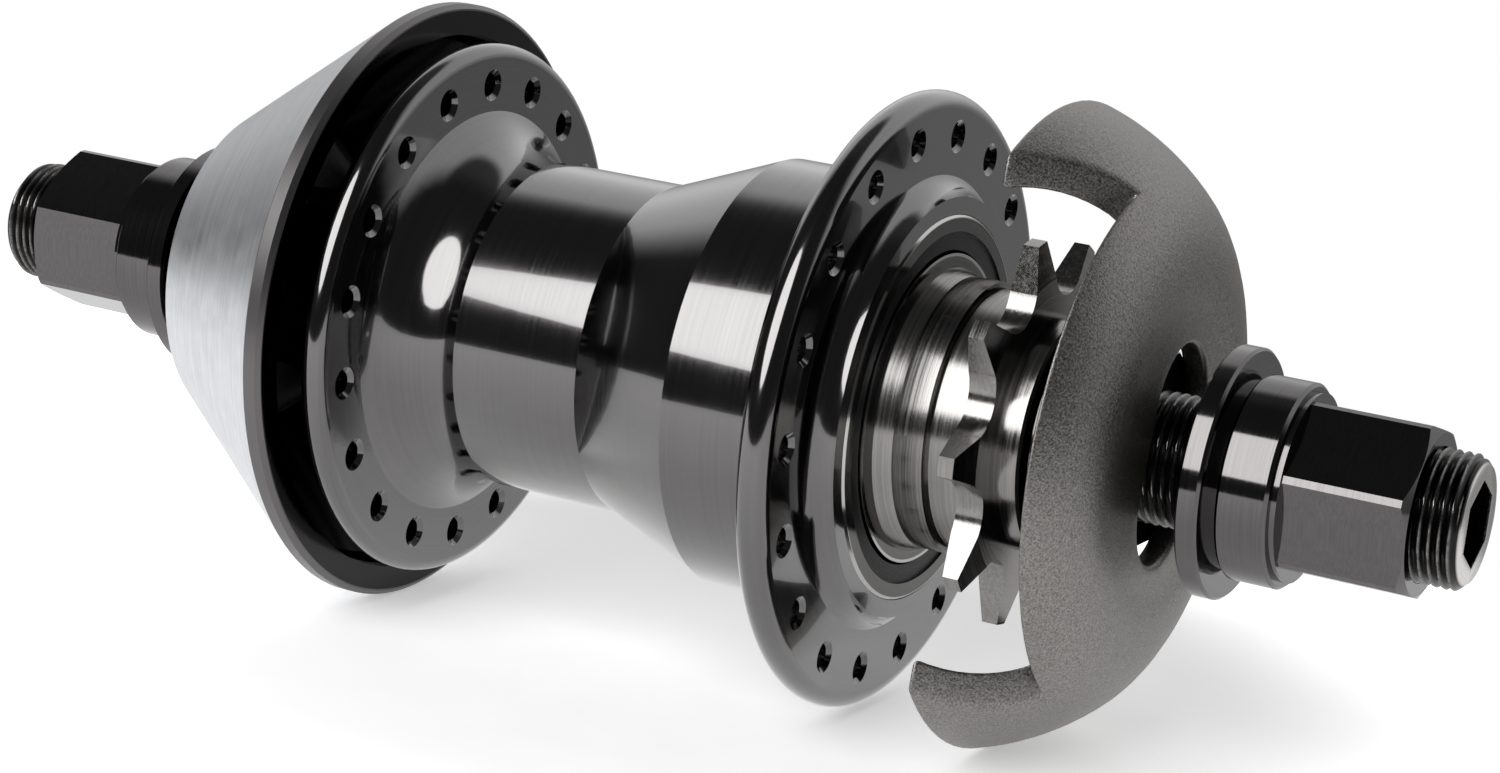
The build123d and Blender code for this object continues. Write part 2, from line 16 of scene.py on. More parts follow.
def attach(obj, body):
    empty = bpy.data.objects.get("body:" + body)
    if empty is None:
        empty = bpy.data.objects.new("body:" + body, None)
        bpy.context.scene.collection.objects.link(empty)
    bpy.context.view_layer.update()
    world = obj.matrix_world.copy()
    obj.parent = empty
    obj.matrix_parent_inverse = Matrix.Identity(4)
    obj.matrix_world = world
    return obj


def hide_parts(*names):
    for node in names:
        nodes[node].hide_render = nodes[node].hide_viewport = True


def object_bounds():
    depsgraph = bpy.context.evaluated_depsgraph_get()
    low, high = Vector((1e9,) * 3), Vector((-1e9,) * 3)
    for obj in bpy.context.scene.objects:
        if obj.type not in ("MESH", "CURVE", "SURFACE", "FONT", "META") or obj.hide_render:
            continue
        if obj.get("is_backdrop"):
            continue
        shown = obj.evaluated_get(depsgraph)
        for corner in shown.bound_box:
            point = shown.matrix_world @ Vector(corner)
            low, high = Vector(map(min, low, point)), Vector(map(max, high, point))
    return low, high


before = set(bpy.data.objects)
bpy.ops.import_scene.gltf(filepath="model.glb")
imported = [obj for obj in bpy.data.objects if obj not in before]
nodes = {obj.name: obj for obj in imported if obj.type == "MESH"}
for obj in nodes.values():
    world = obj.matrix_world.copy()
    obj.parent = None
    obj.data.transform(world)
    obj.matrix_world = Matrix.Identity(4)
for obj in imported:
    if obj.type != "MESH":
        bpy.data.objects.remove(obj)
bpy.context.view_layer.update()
MM = 0.001
print("nodes in the frame:", len(nodes))

# %% [markdown]
# ## Colours and shader nodes
# Colours are written the way a picture editor shows them, as sRGB hex. A renderer adds light in
# linear values, so one function turns each hex code to linear. Another adds a shader node with
# its settings, and an input may be a plain value or the output of an earlier node, which links
# the two.


# %% Colour and node helpers
def linear(hex_code):
    """Linear RGBA of an sRGB hex colour."""
    channels = [int(hex_code[k:k + 2], 16) / 255 for k in (1, 3, 5)]
    return [c / 12.92 if c <= 0.04045 else ((c + 0.055) / 1.055) ** 2.4 for c in channels] + [1.0]


def add(material, kind, inputs=None, **settings):
    """One shader node with its settings; an input is a value or another node's output."""
    node = material.node_tree.nodes.new("ShaderNode" + kind)
    for name, value in settings.items():
        setattr(node, name, value)
    for socket, value in (inputs or {}).items():
        if isinstance(value, bpy.types.NodeSocket):
            material.node_tree.links.new(value, node.inputs[socket])
        else:
            node.inputs[socket].default_value = value
    return node


def new_finish(name):
    """Empty material that is ready for nodes."""
    material = bpy.data.materials.new(name)
    material.use_nodes = True
    material.node_tree.nodes.clear()
    return material


def finish_surface(material, inputs):
    """Close a material with a Principled shader."""
    shader = add(material, "BsdfPrincipled", inputs)
    add(material, "OutputMaterial", {"Surface": shader.outputs["BSDF"]})
    return material


def wear(material, node_names):
    """Put a finish on carried-over nodes of the frame."""
    for name in node_names:
        nodes[name].data.materials.clear()
        nodes[name].data.materials.append(material)
        for polygon in nodes[name].data.polygons:
            polygon.material_index = 0
    print(material.name, "on", len(node_names), "nodes")


# %% [markdown]
# ## Lathe coordinates
# Nearly every surface of a hub was cut on a lathe, so its marks run round the axle. A pattern
# that is laid out in distance along the axle, distance from it and angle round it follows those
# marks on barrels and faces alike. Blender's own object coordinates are turned into these three
# here.


# %% Lathe coordinates and tool marks
def lathe_coordinates(material):
    """Outputs for the distance along the axle and from it, both in mm, and the angle in radians."""
    place = add(material, "TexCoord").outputs["Object"]
    parts = add(material, "SeparateXYZ", {0: place})
    along = add(material, "Math", {0: parts.outputs["X"], 1: 1 / MM}, operation="MULTIPLY")
    across = add(material, "CombineXYZ", {1: parts.outputs["Y"], 2: parts.outputs["Z"]})
    length = add(material, "VectorMath", {0: across.outputs[0]}, operation="LENGTH")
    away = add(material, "Math", {0: length.outputs["Value"], 1: 1 / MM}, operation="MULTIPLY")
    angle = add(
        material, "Math", {0: parts.outputs["Z"], 1: parts.outputs["Y"]}, operation="ARCTAN2"
    )
    return along.outputs[0], away.outputs[0], angle.outputs[0]


def tool_marks(material, spacing, arc, roughness=0.6):
    """Noise drawn out into rings, a spacing in mm apart and an arc in radians long."""
    along, away, angle = lathe_coordinates(material)
    rings = add(material, "CombineXYZ", {
        0: add(material, "Math", {0: along, 1: 1 / spacing}, operation="MULTIPLY").outputs[0],
        1: add(material, "Math", {0: away, 1: 1 / spacing}, operation="MULTIPLY").outputs[0],
        2: add(material, "Math", {0: angle, 1: 1 / arc}, operation="MULTIPLY").outputs[0],
    })
    noise = add(
        material, "TexNoise",
        {"Vector": rings.outputs[0], "Scale": 1.0, "Detail": 3.0, "Roughness": roughness},
    )
    return noise.outputs["Fac"]


def speckle(material, grain):
    """Even noise whose grains are about this many mm across."""
    place = add(material, "TexCoord").outputs["Object"]
    noise = add(
        material, "TexNoise",
        {"Vector": place, "Scale": 1 / (grain * MM), "Detail": 2.0, "Roughness": 0.6},
    )
    return noise.outputs["Fac"]


def bumps(material, height, depth, normal=None):
    """Normal from a height pattern; depth is the height of its tallest bumps in mm."""
    inputs = {"Height": height, "Distance": depth * MM, "Strength": 1.0}
    if normal is not None:
        inputs["Normal"] = normal
    return add(material, "Bump", inputs).outputs["Normal"]


def spread(material, pattern, low, high, start=0.3, end=0.7):
    """A pattern stretched to run from low to high."""
    return add(
        material, "MapRange",
        {"Value": pattern, "From Min": start, "From Max": end, "To Min": low, "To Max": high},
    ).outputs["Result"]


def tint(material, pattern, dark, light, start=0.3, end=0.7):
    """Colour between two hex codes along a pattern."""
    share = spread(material, pattern, 0.0, 1.0, start, end)
    mix = add(material, "Mix", {0: share, 6: linear(dark), 7: linear(light)}, data_type="RGBA")
    return mix.outputs[2]


# %% [markdown]
# ## Gloss black anodised aluminium
# The shell is aluminium, polished and then anodised: acid and current grow a clear, glassy oxide
# that soaks up black dye. The eye sees two layers, a sharp mirror on top and a dark metal below.
# The metal is the Principled shader's base, and its coat is the oxide film, whose index is about
# 1.65. Polishing leaves a faint waviness, so that the edges of reflections swim slightly.

# %% Shell finish
anodised_black = new_finish("anodised_aluminium_polished_black")
polish_waves = bumps(anodised_black, speckle(anodised_black, 6.0), 0.006)
polish_lines = tool_marks(anodised_black, 0.35, 1.5)
finish_surface(anodised_black, {
    "Base Color": tint(anodised_black, polish_lines, "#555353", "#5D5B5B"),
    "Metallic": 1.0,
    "Roughness": spread(anodised_black, polish_lines, 0.1, 0.15),
    "Coat Weight": 1.0,
    "Coat Roughness": 0.035,
    "Coat IOR": 1.65,
    "Coat Normal": bumps(anodised_black, polish_lines, 0.0004, polish_waves),
    "Normal": polish_waves,
})
wear(anodised_black, ["hub_shell"])

# %% [markdown]
# ## Black chrome plate
# The nuts, washers, cone and locknut are steel that was turned, polished and plated with black
# chrome. It's a true metal, so it has no coat, and it mirrors its surroundings in smoke grey.
# Fine turning marks on the round parts still show through the thin plate.

# %% Nut and washer finish
black_chrome = new_finish("steel_black_chrome_plated")
plate_lines = tool_marks(black_chrome, 0.22, 2.5)
finish_surface(black_chrome, {
    "Base Color": tint(black_chrome, plate_lines, "#5B5959", "#656363"),
    "Metallic": 1.0,
    "Roughness": spread(black_chrome, plate_lines, 0.06, 0.12),
    "Normal": bumps(black_chrome, plate_lines, 0.0012),
})
wear(black_chrome, [
    "ds_axle_nut", "nds_axle_nut", "ds_washer", "nds_washer", "nds_cone", "nds_locknut",
])

# %% [markdown]
# ## Bare turned aluminium with a black rim
# The far guard is a cone that a lathe left bright, and its rim and hollow side were anodised
# black before that last cut. One material holds both finishes. The bright cut is chosen by place:
# it's the outer cone, which lies left of the rim, and everything else stays black. The rim's
# outermost band is satin, so it's a lighter grey than the glossy hollow side. Long scratches run
# round the cone, and a few patches are duller from handling.

# %% Cone guard finish
turned_bright = new_finish("aluminium_turned_bright_and_anodised_rim")
along, away, _ = lathe_coordinates(turned_bright)
CONE_END_X, CONE_END_R = -57.7, 18.2
CONE_RIM_X, CONE_RIM_R = -35.0, 34.3
CUT_DEPTH = 0.8
RIM_MARGIN = 0.1
BAND_WIDTH = 0.7
cone_slope = (CONE_RIM_R - CONE_END_R) / (CONE_RIM_X - CONE_END_X)
cone_surface = add(turned_bright, "Math", {
    0: along, 1: cone_slope, 2: CONE_END_R - CONE_END_X * cone_slope,
}, operation="MULTIPLY_ADD").outputs[0]
depth_below = add(
    turned_bright, "Math", {0: cone_surface, 1: away}, operation="SUBTRACT"
).outputs[0]
on_cone = add(
    turned_bright, "Math", {0: depth_below, 1: CUT_DEPTH}, operation="LESS_THAN"
).outputs[0]
before_rim = add(
    turned_bright, "Math", {0: along, 1: CONE_RIM_X - RIM_MARGIN}, operation="LESS_THAN"
).outputs[0]
in_band = add(
    turned_bright, "Math", {0: away, 1: CONE_RIM_R - BAND_WIDTH}, operation="GREATER_THAN"
).outputs[0]
is_bright = add(
    turned_bright, "Math", {0: on_cone, 1: before_rim}, operation="MULTIPLY"
).outputs[0]
scratches = tool_marks(turned_bright, 0.3, 0.9, 0.75)
handling = speckle(turned_bright, 3.0)
bright_colour = tint(turned_bright, scratches, "#C4C5C9", "#E2E3E6")
rim_colour = add(turned_bright, "Mix", {
    0: in_band, 6: linear("#2A2929"), 7: linear("#6C6A6A"),
}, data_type="RGBA").outputs[2]
finish_colour = add(turned_bright, "Mix", {
    0: is_bright, 6: rim_colour, 7: bright_colour,
}, data_type="RGBA").outputs[2]
bright_roughness = add(turned_bright, "Math", {
    0: spread(turned_bright, scratches, 0.3, 0.42),
    1: spread(turned_bright, handling, -0.05, 0.08),
}, operation="ADD").outputs[0]
rim_roughness = add(
    turned_bright, "Mix", {0: in_band, 2: 0.12, 3: 0.36}, data_type="FLOAT"
).outputs[0]
cone_roughness = add(turned_bright, "Mix", {
    0: is_bright, 2: rim_roughness, 3: bright_roughness,
}, data_type="FLOAT").outputs[0]
finish_surface(turned_bright, {
    "Base Color": finish_colour,
    "Metallic": 1.0,
    "Roughness": cone_roughness,
    "Normal": bumps(turned_bright, scratches, 0.004),
})
wear(turned_bright, ["nds_guard"])

# %% [markdown]
# ## Darkened turned steel
# The driver is one piece of chromium-molybdenum steel. Its body shows open turning marks that
# catch the lamp as fine bright rings. The marks are drawn 0.3 mm apart, which is about what a
# roughing pass leaves and the finest that the picture can show.

# %% Driver finish
turned_steel = new_finish("chromoly_steel_turned_and_darkened")
feed_marks = tool_marks(turned_steel, 0.3, 4.0, 0.7)
finish_surface(turned_steel, {
    "Base Color": tint(turned_steel, feed_marks, "#787674", "#969492"),
    "Metallic": 1.0,
    "Roughness": spread(turned_steel, feed_marks, 0.12, 0.24),
    "Normal": bumps(turned_steel, feed_marks, 0.006),
})
wear(turned_steel, ["driver"])

# %% [markdown]
# ## Ground bearing steel
# Races, balls and the sprocket-side cone are hardened and ground. Hardening leaves the races' side
# faces dark. Two thin bright rings at the large bearing's ground edges are painted highlight, drawn
# by radius into the base colour. Grinding marks are finer than a lathe's and show only as a slight
# haze along the highlight.

# %% Bearing steel finish
ground_steel = new_finish("bearing_steel_ground")
grinding = tool_marks(ground_steel, 0.12, 2.0)
_, away, _ = lathe_coordinates(ground_steel)
# Radius bands with a pale base colour: painted highlight on the large bearing's edges.
INNER_HIGHLIGHT_RING = (16.5, 16.95)
OUTER_HIGHLIGHT_RING = (20.6, 21.1)
on_painted_highlight_ring = 0.0
for low, high in (INNER_HIGHLIGHT_RING, OUTER_HIGHLIGHT_RING):
    outside = add(ground_steel, "Math", {0: away, 1: low}, operation="GREATER_THAN").outputs[0]
    inside = add(ground_steel, "Math", {0: away, 1: high}, operation="LESS_THAN").outputs[0]
    on_painted_highlight_ring = add(
        ground_steel, "Math", {0: outside, 1: inside, 2: on_painted_highlight_ring}, operation="MULTIPLY_ADD"
    ).outputs[0]
steel_with_painted_highlight = add(ground_steel, "Mix", {
    0: on_painted_highlight_ring, 6: tint(ground_steel, grinding, "#4C4B4A", "#62615F"), 7: linear("#B8B7B5"),
}, data_type="RGBA").outputs[2]
finish_surface(ground_steel, {
    "Base Color": steel_with_painted_highlight,
    "Metallic": 1.0,
    "Roughness": spread(ground_steel, grinding, 0.08, 0.16),
    "Normal": bumps(ground_steel, grinding, 0.001),
})
bearings = ["nds_bearing", "ds_bearing", "driver_inner_bearing", "driver_outer_bearing"]
ground_pieces = ["outer_race", "inner_race", "balls"]
wear(ground_steel, [f"{b}_{piece}" for b in bearings for piece in ground_pieces] + ["ds_cone"])

# %% [markdown]
# ## Hardened clutch steel, spring steel and brass
# These pieces work inside the hub and are seen only when it's taken apart. The clutch's cones are
# ground on their working faces, the clip is formed from strip with rolling lines along it, and
# the ball cages are pressed from brass sheet.

# %% Finishes of the inner pieces
hard_steel = new_finish("clutch_steel_hardened_and_ground")
clutch_lines = tool_marks(hard_steel, 0.2, 2.0)
finish_surface(hard_steel, {
    "Base Color": tint(hard_steel, clutch_lines, "#7F7D7A", "#9D9B98"),
    "Metallic": 1.0,
    "Roughness": spread(hard_steel, clutch_lines, 0.2, 0.34),
    "Normal": bumps(hard_steel, clutch_lines, 0.003),
})
wear(hard_steel, ["clutch_ring", "clutch_cone", "bearing_spacer"])

strip_steel = new_finish("spring_steel_rolled_strip")
rolling_lines = tool_marks(strip_steel, 0.15, 3.0)
finish_surface(strip_steel, {
    "Base Color": tint(strip_steel, rolling_lines, "#4C4B4D", "#67666A"),
    "Metallic": 1.0,
    "Roughness": spread(strip_steel, rolling_lines, 0.25, 0.4),
    "Normal": bumps(strip_steel, rolling_lines, 0.002),
})
wear(strip_steel, ["drag_clip"])

sheet_brass = new_finish("brass_pressed_sheet")
tarnish = speckle(sheet_brass, 0.8)
finish_surface(sheet_brass, {
    "Base Color": tint(sheet_brass, tarnish, "#A98B4E", "#CDB06B"),
    "Metallic": 1.0,
    "Roughness": spread(sheet_brass, tarnish, 0.25, 0.4),
    "Normal": bumps(sheet_brass, speckle(sheet_brass, 0.2), 0.004),
})
wear(sheet_brass, [f"{b}_cage" for b in bearings])

# %% [markdown]
# ## Nitrile rubber seals
# A seal is black rubber moulded onto a thin steel ring. It's matt, with moulded rings and a fine
# grain from the mould, and its dust-grey bloom keeps it from looking like a hole.

# %% Seal finish
seal_rubber = new_finish("nitrile_rubber_moulded")
seal_grain = speckle(seal_rubber, 0.25)
seal_rings = tool_marks(seal_rubber, 0.6, 6.0)
finish_surface(seal_rubber, {
    "Base Color": tint(seal_rubber, seal_grain, "#121111", "#1C1B1B"),
    "Roughness": spread(seal_rubber, seal_grain, 0.42, 0.58),
    "IOR": 1.52,
    "Normal": bumps(seal_rubber, seal_grain, 0.01, bumps(seal_rubber, seal_rings, 0.03)),
})
wear(seal_rubber, [f"{b}_seals" for b in bearings])

# %% [markdown]
# ## A lathe in mesh code
# The axle is turned again here. A row of points round it is made for every step along an outline,
# and neighbouring rows are joined by faces. The radius may change round a row, which gives a
# thread or a hexagon socket. A new piece may have a second finish for some of its faces, as the
# guard does.


# %% Mesh helpers
def new_piece(name, points, faces, finishes, body, replaced, second=()):
    """Mesh object in metres from points in mm, riding on a body in place of a frame node."""
    mesh = bpy.data.meshes.new(name)
    mesh.from_pydata([[value * MM for value in point] for point in points], [], faces)
    for finish in finishes:
        mesh.materials.append(finish)
    for number in second:
        mesh.polygons[number].material_index = 1
    piece = bpy.data.objects.new(name, mesh)
    bpy.context.scene.collection.objects.link(piece)
    work = bmesh.new()
    work.from_mesh(mesh)
    bmesh.ops.remove_doubles(work, verts=work.verts, dist=1e-7)
    bmesh.ops.recalc_face_normals(work, faces=work.faces)
    work.to_mesh(mesh)
    work.free()
    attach(piece, body)
    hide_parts(replaced)
    print(name, "has", len(mesh.polygons), "faces")
    return piece


def smooth_under(piece, limit):
    """Smooth shading that stays sharp where faces meet at more than a limit in degrees."""
    piece.data.shade_smooth()
    piece.data.set_sharp_from_angle(angle=radians(limit))


def turned_rows(rows, steps):
    """Points and faces of rows of (x, radius at an angle), each closed round the axle."""
    points = []
    for x, radius in rows:
        for k in range(steps):
            turn = 2 * pi * k / steps
            r = radius(turn)
            points.append((x, r * cos(turn), r * sin(turn)))
    faces = []
    for row in range(len(rows) - 1):
        for k in range(steps):
            low, high = row * steps, (row + 1) * steps
            step = (k + 1) % steps
            faces.append((low + k, low + step, high + step, high + k))
    return points, faces


# %% [markdown]
# ## The threaded axle
# The axle is 14 mm steel with a fine thread of 1 mm pitch. A real thread is a helix, so a point's
# height depends on both its place along the axle and its angle. Eight rows to a turn are enough
# to give each crest its own light line, which is what the eye looks for at this size. The ends
# fade into a chamfer, and the sprocket end holds a socket for an 8 mm hexagon key.

# %% Axle with its thread
THREAD_R = 7.0
THREAD_DEPTH = 0.55
THREAD_PITCH = 1.0
FLANK_SLOPE = 2.4
CREST_SHARE = 0.1
ROWS_PER_TURN = 8
AXLE_END = 90.0
END_CHAMFER = 0.9
FAR_THREAD_END, NEAR_THREAD_START = -61.0, 54.5
KEY_ACROSS_FLATS = 8.0
SOCKET_DEPTH = 12.0
AROUND = 96
# Steps of the plain part between the threads, as places along the axle and radii.
PLAIN_STEPS = [
    (-60.9, 6.5), (-32.7, 6.5), (-32.7, 7.5), (-25.7, 7.5), (-25.7, 9.0),
    (3.3, 9.0), (3.3, 7.5), (45.4, 7.5), (45.4, 6.5), (54.4, 6.5),
]


def thread_radius(x):
    """Radius round the axle at x for a right-hand thread, cut back by the end chamfer."""
    limit = THREAD_R - max(0.0, abs(x) - (AXLE_END - END_CHAMFER))

    def radius(turn):
        phase = (x / THREAD_PITCH - turn / (2 * pi)) % 1.0
        flank = min(1.0, max(0.0, FLANK_SLOPE * abs(phase - 0.5) - CREST_SHARE))
        return min(limit, THREAD_R - THREAD_DEPTH * flank)

    return radius


def even(r):
    """Same radius all round."""
    return lambda turn: r


def key_socket(turn):
    """Radius of the hexagon for the key."""
    sixth = (turn + pi / 6) % (pi / 3) - pi / 6
    return KEY_ACROSS_FLATS / 2 / cos(sixth)


def threaded_rows(start, end):
    """Rows of a thread between two places."""
    count = int(round((end - start) / THREAD_PITCH * ROWS_PER_TURN))
    places = [start + (end - start) * k / count for k in range(count + 1)]
    return [(x, thread_radius(x)) for x in places]


axle_rows = [(-AXLE_END, even(0.0))]
axle_rows += threaded_rows(-AXLE_END, FAR_THREAD_END)
axle_rows += [(x, even(r)) for x, r in PLAIN_STEPS]
axle_rows += threaded_rows(NEAR_THREAD_START, AXLE_END)
axle_rows += [
    (AXLE_END, key_socket),
    (AXLE_END - SOCKET_DEPTH, key_socket),
    (AXLE_END - SOCKET_DEPTH, even(0.0)),
]
axle_points, axle_faces = turned_rows(axle_rows, AROUND)
print("axle outline has", len(axle_rows), "rows")

# %% [markdown]
# ## Blackened axle steel
# The axle was blackened in a hot salt bath after its thread was cut. The black wears through
# first on the crests, so they're lighter than the valleys, and the flat end face is turned and
# nearly bare.

# %% Axle finish and piece
black_steel = new_finish("chromoly_steel_blackened_thread")
WORN_DEPTH = 0.28
END_FACE_START, END_FACE_FULL = AXLE_END - 0.25, AXLE_END - 0.05
along, away, _ = lathe_coordinates(black_steel)
crest = spread(black_steel, away, 0.0, 1.0, THREAD_R - WORN_DEPTH, THREAD_R)
rub = add(black_steel, "Math", {
    0: crest, 1: spread(black_steel, speckle(black_steel, 0.4), 0.35, 1.0),
}, operation="MULTIPLY").outputs[0]
from_middle = add(black_steel, "Math", {0: along}, operation="ABSOLUTE").outputs[0]
at_end = spread(black_steel, from_middle, 0.0, 1.0, END_FACE_START, END_FACE_FULL)
bare = add(black_steel, "Math", {0: rub, 1: at_end}, operation="MAXIMUM").outputs[0]
axle_lines = tool_marks(black_steel, 0.2, 3.0)
worn_colour = tint(black_steel, bare, "#2B2A2A", "#8F8D8B", 0.0, 1.0)
end_colour = add(
    black_steel, "Mix", {0: at_end, 6: worn_colour, 7: linear("#D2D0CE")}, data_type="RGBA"
).outputs[2]
finish_surface(black_steel, {
    "Base Color": end_colour,
    "Metallic": 1.0,
    "Roughness": spread(black_steel, axle_lines, 0.2, 0.34),
    "Normal": bumps(black_steel, axle_lines, 0.003),
})
axle = new_piece(
    "axle_threaded", axle_points, axle_faces, [black_steel], "axle_set", "axle"
)
smooth_under(axle, 50)

# %% [markdown]
# ## The slotted dome guard
# This guard is a steel casting 2.8 mm thick. A round dome covers the sprocket, an oblong slot
# lets the axle and the frame's dropout in, and two wings reach back over the chain. A wing grows
# wider towards its tip, and casting and blasting leave every edge soft. The mesh is laid out as
# rings and spokes. The spokes fan out over a wing, so its cut sides stay on spokes, and a bevel
# then rounds all of the edges by one size. The outline is a section through the guard: each point
# is a place along the axle and a distance from it.

# %% Outline of the guard
GUARD_TURN = radians(-9.0)
GUARD_LIFT = 0.45
FACE_X, FACE_R = 57.5, 15.5
SHOULDER_X, SHOULDER_R = 52.8, 28.8
RIM_X, RIM_R = 41.9, 34.8
WALL = 2.8
# The hollow side follows the outer one at the wall's distance: on the leaning dome that takes a
# quarter of the wall off the face's radius, and 0.72 of it off both sizes of the shoulder.
FACE_SHARE, SHOULDER_SHARE = 0.25, 0.72
INNER_FACE_R = FACE_R - FACE_SHARE * WALL
BACK_SHOULDER = (SHOULDER_X - SHOULDER_SHARE * WALL, SHOULDER_R - SHOULDER_SHARE * WALL)
DOME_BOW, SKIRT_BOW = 1.9, 0.7
DOME_BACK_BOW, SKIRT_BACK_BOW = 1.52, 0.595
DOME_RINGS, SKIRT_RINGS = 10, 10
SKIRT_STEPS, BACK_STEPS = 24, 60
ROOT_HALF_WIDTH, TIP_HALF_WIDTH = 12.0, 21.6
SLOT_HALF_WIDTH, SLOT_HALF_LENGTH = 7.15, 11.75
ROOT_HALF = asin(ROOT_HALF_WIDTH / SHOULDER_R)


def bowed(start, end, height, steps):
    """Points from start to end on an arc that stands out by a height to the right of the way."""
    (x0, r0), (x1, r1) = start, end
    run = hypot(x1 - x0, r1 - r0)
    side = ((r1 - r0) / run, -(x1 - x0) / run)
    radius = (run * run / 4 + height * height) / (2 * height)
    centre = radius - height
    mid = ((x0 + x1) / 2 - side[0] * centre, (r0 + r1) / 2 - side[1] * centre)
    first = atan2(r0 - mid[1], x0 - mid[0])
    last = atan2(r1 - mid[1], x1 - mid[0])
    points = []
    for k in range(steps + 1):
        swing = first + (last - first) * k / steps
        points.append((mid[0] + radius * cos(swing), mid[1] + radius * sin(swing)))
    return points


def resampled(line, count):
    """Evenly numbered points along a line."""
    points = []
    for k in range(count + 1):
        place = k / count * (len(line) - 1)
        low = min(int(place), len(line) - 2)
        part = place - low
        points.append(tuple(a + (b - a) * part for a, b in zip(line[low], line[low + 1])))
    return points


def slot_reach(turn):
    """Distance from the guard's middle to the slot's edge, for an angle from across the slot."""
    straight = SLOT_HALF_LENGTH - SLOT_HALF_WIDTH
    if SLOT_HALF_WIDTH * abs(sin(turn)) < straight * abs(cos(turn)):
        return SLOT_HALF_WIDTH / abs(cos(turn))
    rise = straight * abs(sin(turn))
    return rise + sqrt(rise ** 2 - straight ** 2 + SLOT_HALF_WIDTH ** 2)


def wing_half(x, r, fan):
    """Half angle of a wing at a point of the section; a fan of 0 gives the dome's even spokes."""
    share = min(1.0, max(0.0, (SHOULDER_X - x) / (SHOULDER_X - RIM_X)))
    width = ROOT_HALF_WIDTH + (TIP_HALF_WIDTH - ROOT_HALF_WIDTH) * share
    return ROOT_HALF + (asin(min(1.0, width / r)) - ROOT_HALF) * fan


dome_front = bowed((FACE_X, FACE_R), (SHOULDER_X, SHOULDER_R), DOME_BOW, DOME_RINGS)
skirt_front = bowed((SHOULDER_X, SHOULDER_R), (RIM_X, RIM_R), SKIRT_BOW, SKIRT_STEPS)
inner_arc = bowed((FACE_X - WALL, INNER_FACE_R), BACK_SHOULDER, DOME_BACK_BOW, BACK_STEPS)
dome_back = resampled([point for point in inner_arc if point[0] >= SHOULDER_X], DOME_RINGS)
skirt_back = [dome_back[-1]] + [point for point in inner_arc if point[0] < SHOULDER_X]
skirt_back += bowed(BACK_SHOULDER, (RIM_X, RIM_R - WALL), SKIRT_BACK_BOW, BACK_STEPS)[1:]
print("guard meets its cut at radius", round(dome_back[-1][1], 2), "mm on the inside")

# %% Spokes of the guard
WING_STEPS = 10
GAP_STEPS = 18
GAP_HALF = pi / 2 - ROOT_HALF
wing_shares = [k / WING_STEPS for k in range(-WING_STEPS, WING_STEPS + 1)]
gap_shares = [k / GAP_STEPS for k in range(1, 2 * GAP_STEPS)]
# Each spoke has the middle angle of its sector, its share of the way across, and if it's on a wing.
spokes = []
for quarter in range(1, 5):
    centre = quarter * pi / 2
    if quarter % 2:
        spokes += [(centre, share, True) for share in wing_shares]
    else:
        spokes += [(centre - GAP_HALF + GAP_HALF * share, 0.0, False) for share in gap_shares]
print("guard spokes:", len(spokes))


# %% Points of the guard
def guard_point(x, r, turn):
    """Point of the guard after its lift along the slot and its turn about the axle."""
    y, z = r * cos(turn), r * sin(turn) + GUARD_LIFT
    turned_y = y * cos(GUARD_TURN) - z * sin(GUARD_TURN)
    turned_z = y * sin(GUARD_TURN) + z * cos(GUARD_TURN)
    return (x, turned_y, turned_z)


def fanned(line, centre, share, fans):
    """Points of a line on one spoke of a wing, or on a plain spoke where the share is zero."""
    return [
        guard_point(x, r, centre + share * wing_half(x, r, fan))
        for (x, r), fan in zip(line, fans)
    ]


FLAT_RINGS = 3
PER_SIDE = FLAT_RINGS + DOME_RINGS + 1 + SKIRT_RINGS
DOME_END = FLAT_RINGS + DOME_RINGS
front_fans = [0.0] * (DOME_END + 1) + [1.0] * SKIRT_RINGS
back_fans = [0.0] * FLAT_RINGS
back_fans += [(k / DOME_RINGS) ** 3 for k in range(DOME_RINGS + 1)] + [1.0] * SKIRT_RINGS
skirt_front = resampled(skirt_front, SKIRT_RINGS)
skirt_back = resampled(skirt_back, SKIRT_RINGS)
flat_shares = [k / FLAT_RINGS for k in range(FLAT_RINGS)]
guard_points = []
for centre, share, winged in spokes:
    reach = slot_reach(centre + share * ROOT_HALF)
    flat_front = [(FACE_X, reach + (FACE_R - reach) * part) for part in flat_shares]
    flat_back = [(FACE_X - WALL, reach + (INNER_FACE_R - reach) * part) for part in flat_shares]
    guard_points += fanned(flat_front + dome_front + skirt_front[1:], centre, share, front_fans)
    guard_points += fanned(flat_back + dome_back + skirt_back[1:], centre, share, back_fans)
print("guard points:", len(guard_points))

# %% Faces of the guard
# The gaps between the wings have no skirt, so the points made for it there are left out at the end.
guard_faces = []
inner_faces = []
for number, (centre, share, winged) in enumerate(spokes):
    beside = (number + 1) % len(spokes)
    here, there = number * 2 * PER_SIDE, beside * 2 * PER_SIDE
    last = PER_SIDE - 1 if winged and spokes[beside][2] else DOME_END
    for k in range(last):
        low = PER_SIDE + k
        guard_faces.append((here + k, here + k + 1, there + k + 1, there + k))
        inner_faces.append(len(guard_faces))
        guard_faces.append((here + low, there + low, there + low + 1, here + low + 1))
    guard_faces.append((here, there, there + PER_SIDE, here + PER_SIDE))
    back_last = last + PER_SIDE
    guard_faces.append((here + last, here + back_last, there + back_last, there + last))
    if abs(share) == 1.0:
        for k in range(DOME_END, PER_SIDE - 1):
            low = PER_SIDE + k
            side = (here + k, here + low, here + low + 1, here + k + 1)
            guard_faces.append(side if share < 0 else side[::-1])
used = sorted({point for face in guard_faces for point in face})
place_of = {point: number for number, point in enumerate(used)}
guard_points = [guard_points[point] for point in used]
guard_faces = [tuple(place_of[point] for point in face) for face in guard_faces]
print("guard faces:", len(guard_faces), "of which inside:", len(inner_faces))
